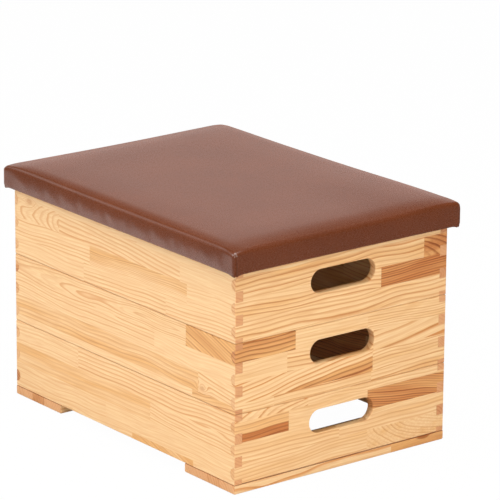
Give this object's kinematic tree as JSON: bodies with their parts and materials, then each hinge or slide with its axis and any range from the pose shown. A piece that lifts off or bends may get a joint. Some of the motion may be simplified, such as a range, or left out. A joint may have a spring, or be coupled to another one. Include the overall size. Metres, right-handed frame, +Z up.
{
  "type": "vaulting box",
  "caption": "Small stacking vaulting box for gymnastics: finger-jointed pine frames with hand slots on two cross planks, under a padded brown lid that lifts off.",
  "frame": {"origin": "centre of the whole box's footprint, on the floor under the planks", "axes": "+X along the box's length towards the right end board, -Y towards the front long side, +Z up"},
  "size_m": [0.73, 0.53, 0.4726],
  "materials": {
    "pine": "edge-glued pine boards, sanded and clear varnished, satin",
    "foot_pine": "edge-glued pine plank, sanded and clear varnished, satin",
    "plywood": "thin birch plywood, unfinished",
    "foam": "pale polyurethane foam sheet",
    "leatherette": "brown artificial leather, soft sheen",
    "zinc_steel": "zinc-plated countersunk wood screws"
  },
  "bodies": {
    "base": {"bottom_frame_long_board_front": "pine", "bottom_frame_long_board_rear": "pine", "bottom_frame_end_board_right": "pine", "bottom_frame_end_board_left": "pine", "bottom_frame_peg_front_left": "pine", "bottom_frame_peg_front_right": "pine", "bottom_frame_peg_rear_left": "pine", "bottom_frame_peg_rear_right": "pine", "bottom_frame_peg_screw_front_left": "zinc_steel", "bottom_frame_peg_screw_front_right": "zinc_steel", "bottom_frame_peg_screw_rear_left": "zinc_steel", "bottom_frame_peg_screw_rear_right": "zinc_steel", "foot_plank_left": "foot_pine", "foot_plank_right": "foot_pine", "foot_screw_left_1": "zinc_steel", "foot_screw_left_2": "zinc_steel", "foot_screw_left_3": "zinc_steel", "foot_screw_left_4": "zinc_steel", "foot_screw_right_1": "zinc_steel", "foot_screw_right_2": "zinc_steel", "foot_screw_right_3": "zinc_steel", "foot_screw_right_4": "zinc_steel"},
    "middle_frame": {"middle_frame_long_board_front": "pine", "middle_frame_long_board_rear": "pine", "middle_frame_end_board_right": "pine", "middle_frame_end_board_left": "pine", "middle_frame_peg_front_left": "pine", "middle_frame_peg_front_right": "pine", "middle_frame_peg_rear_left": "pine", "middle_frame_peg_rear_right": "pine", "middle_frame_peg_screw_front_left": "zinc_steel", "middle_frame_peg_screw_front_right": "zinc_steel", "middle_frame_peg_screw_rear_left": "zinc_steel", "middle_frame_peg_screw_rear_right": "zinc_steel"},
    "top_frame": {"top_frame_long_board_front": "pine", "top_frame_long_board_rear": "pine", "top_frame_end_board_right": "pine", "top_frame_end_board_left": "pine", "top_frame_peg_front_left": "pine", "top_frame_peg_front_right": "pine", "top_frame_peg_rear_left": "pine", "top_frame_peg_rear_right": "pine", "top_frame_peg_screw_front_left": "zinc_steel", "top_frame_peg_screw_front_right": "zinc_steel", "top_frame_peg_screw_rear_left": "zinc_steel", "top_frame_peg_screw_rear_right": "zinc_steel"},
    "lid": {"lid_batten_front": "pine", "lid_batten_rear": "pine", "lid_batten_left": "pine", "lid_batten_right": "pine", "lid_panel": "plywood", "lid_foam_pad": "foam", "lid_cover": "leatherette"}
  },
  "joints": [
    {"name": "middle_frame_lift", "type": "slide", "parent": "base", "child": "middle_frame", "axis": [0, 0, 1], "range_m": [0, 0.15]},
    {"name": "top_frame_lift", "type": "slide", "parent": "middle_frame", "child": "top_frame", "axis": [0, 0, 1], "range_m": [0, 0.15]},
    {"name": "lid_lift", "type": "slide", "parent": "top_frame", "child": "lid", "axis": [0, 0, 1], "range_m": [0, 0.15]}
  ]
}
